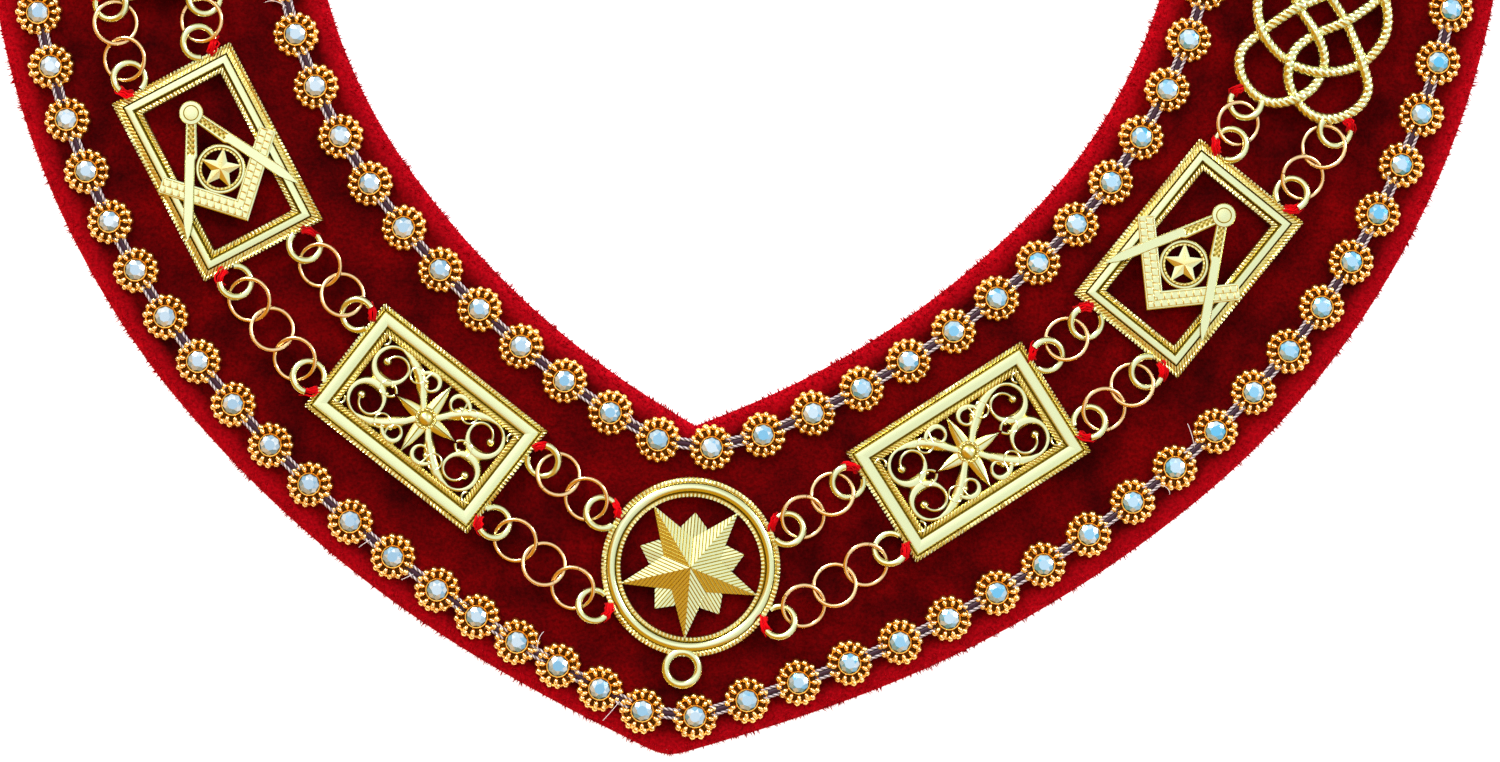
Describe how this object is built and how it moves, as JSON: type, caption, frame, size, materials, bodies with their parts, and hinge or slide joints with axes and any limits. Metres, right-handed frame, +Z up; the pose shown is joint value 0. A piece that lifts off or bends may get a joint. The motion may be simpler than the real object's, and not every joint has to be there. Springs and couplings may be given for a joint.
{
  "type": "masonic chain collar",
  "caption": "Flat velvet collar cut to a V at the chest, edged with stone-set gilt rosettes and hung with pierced and cast gilt plates joined by short chains of jump rings.",
  "frame": {"origin": "on the surface that the collar lies on, below the middle of its outline", "axes": "+Z up, out of the ornamented face; +Y along the collar from the point of the V to the nape; +X to the right, seen from above with the point towards the viewer"},
  "size_m": [0.4564, 0.4984, 0.0081],
  "materials": {
    "red_velvet": "deep cotton velvet pile",
    "rosette_gold": "warm gilt, cast in small beads",
    "pale_gilt": "polished pale gilt with dark recesses",
    "ring_gold": "polished rose gilt wire",
    "rosette_stone": "faceted clear glass on foil",
    "twist_thread": "silvery lilac twisted thread",
    "sewing_thread": "bright red sewing thread"
  },
  "bodies": {
    "root": {"velvet_band": "red_velvet", "outer_rosette_row": "rosette_gold", "inner_rosette_row": "rosette_gold", "star_medallion": "pale_gilt", "scroll_plate_left": "pale_gilt", "scroll_plate_right": "pale_gilt", "compasses_plate_left": "pale_gilt", "compasses_plate_right": "pale_gilt", "rope_plate_left": "pale_gilt", "rope_plate_right": "pale_gilt", "chain_inner_star_to_scroll_left": "ring_gold", "chain_outer_star_to_scroll_left": "ring_gold", "chain_inner_scroll_to_compasses_left": "ring_gold", "chain_outer_scroll_to_compasses_left": "ring_gold", "chain_inner_compasses_to_rope_left": "ring_gold", "chain_outer_compasses_to_rope_left": "ring_gold", "chain_inner_star_to_scroll_right": "ring_gold", "chain_outer_star_to_scroll_right": "ring_gold", "chain_inner_scroll_to_compasses_right": "ring_gold", "chain_outer_scroll_to_compasses_right": "ring_gold", "chain_inner_compasses_to_rope_right": "ring_gold", "chain_outer_compasses_to_rope_right": "ring_gold"}
  },
  "joints": []
}
